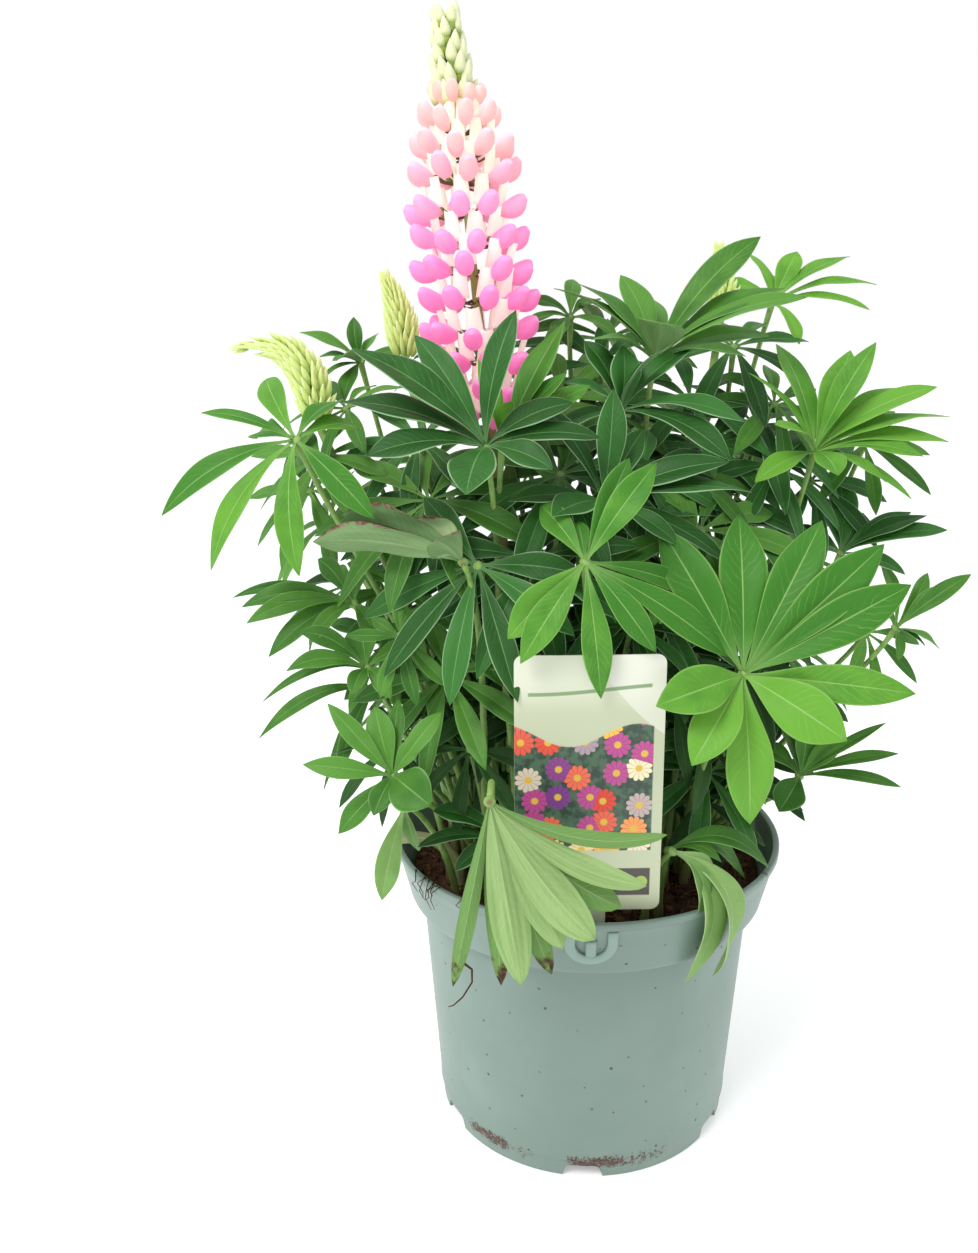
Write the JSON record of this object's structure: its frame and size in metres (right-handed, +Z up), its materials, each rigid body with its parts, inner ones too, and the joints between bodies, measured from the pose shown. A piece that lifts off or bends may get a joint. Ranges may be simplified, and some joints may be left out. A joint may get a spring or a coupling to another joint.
{
  "type": "potted lupin plant",
  "caption": "Flowering lupin: an open flower spike and closed bud spikes over a mound of palmate leaves, growing in soil in a plastic nursery pot with a picture label.",
  "frame": {"origin": "on the floor under the pot's axis", "axes": "+Z up along the plant; the picture label and the camera side face -Y; +X is to the right seen from the label's side"},
  "size_m": [0.36, 0.2666, 0.533],
  "materials": {
    "pot": "matte grey-green moulded polypropylene with soil smears round the foot",
    "soil": "crumbly dark peat compost with red-brown fibres",
    "label": "printed plastic card, satin cream with a flower picture",
    "flower": "soft satin petals, pink wings under cream-pink banners",
    "bud": "downy yellow-green buds",
    "leaf_green": "satin mid-green upper face with a pale midrib and paler downy underside",
    "leaf_dark": "dark blue-green satin leaf with silvery edges",
    "leaf_pale": "pale grey-green downy underside",
    "stub": "dried olive-brown broken stalk"
  },
  "bodies": {
    "root": {"pot": "pot", "soil": "soil", "label": "label", "flower_spike": "flower", "bud_spike_left": "bud", "bud_spike_middle": "bud", "bud_spike_right": "bud", "stalk_stub": "stub", "leaf_star_left": "leaf_green", "leaf_crown_left": "leaf_dark", "leaf_crown_young": "leaf_green", "leaf_crown_right": "leaf_green", "leaf_star_right": "leaf_green", "leaf_front_dark": "leaf_dark", "leaf_front_star": "leaf_green", "leaf_mid_dark": "leaf_dark", "leaf_big_star": "leaf_green", "leaf_back_left": "leaf_green", "leaf_pale_back": "leaf_green", "leaf_top_back": "leaf_green", "leaf_low_right": "leaf_green", "leaf_far_right": "leaf_green", "leaf_dark_right": "leaf_dark", "leaf_left_a": "leaf_green", "leaf_left_b": "leaf_green", "leaf_left_small": "leaf_green", "leaf_low_left": "leaf_green", "leaf_left_c": "leaf_green", "leaf_hanging_left": "leaf_pale", "leaf_withered": "leaf_pale", "leaf_droop_front": "leaf_pale", "leaf_curl_right": "leaf_green", "leaf_soil_left": "leaf_dark", "leaf_soil_right": "leaf_green", "leaf_inner_a": "leaf_dark", "leaf_inner_c": "leaf_dark", "leaf_inner_d": "leaf_dark", "leaf_inner_e": "leaf_dark", "leaf_inner_f": "leaf_dark", "leaf_inner_k": "leaf_dark", "leaf_inner_l": "leaf_green", "leaf_left_d": "leaf_green", "leaf_inner_b": "leaf_dark", "leaf_inner_g": "leaf_green", "leaf_inner_h": "leaf_dark", "leaf_inner_i": "leaf_green", "leaf_inner_j": "leaf_dark", "leaf_left_e": "leaf_green", "leaf_back_a": "leaf_green", "leaf_back_b": "leaf_green", "leaf_back_c": "leaf_green", "leaf_back_d": "leaf_dark", "leaf_back_e": "leaf_dark", "leaf_back_f": "leaf_dark", "leaf_back_g": "leaf_green", "leaf_back_h": "leaf_green", "leaf_back_i": "leaf_dark", "leaf_back_k": "leaf_green", "leaf_back_l": "leaf_green", "leaf_back_m": "leaf_green"}
  },
  "joints": []
}
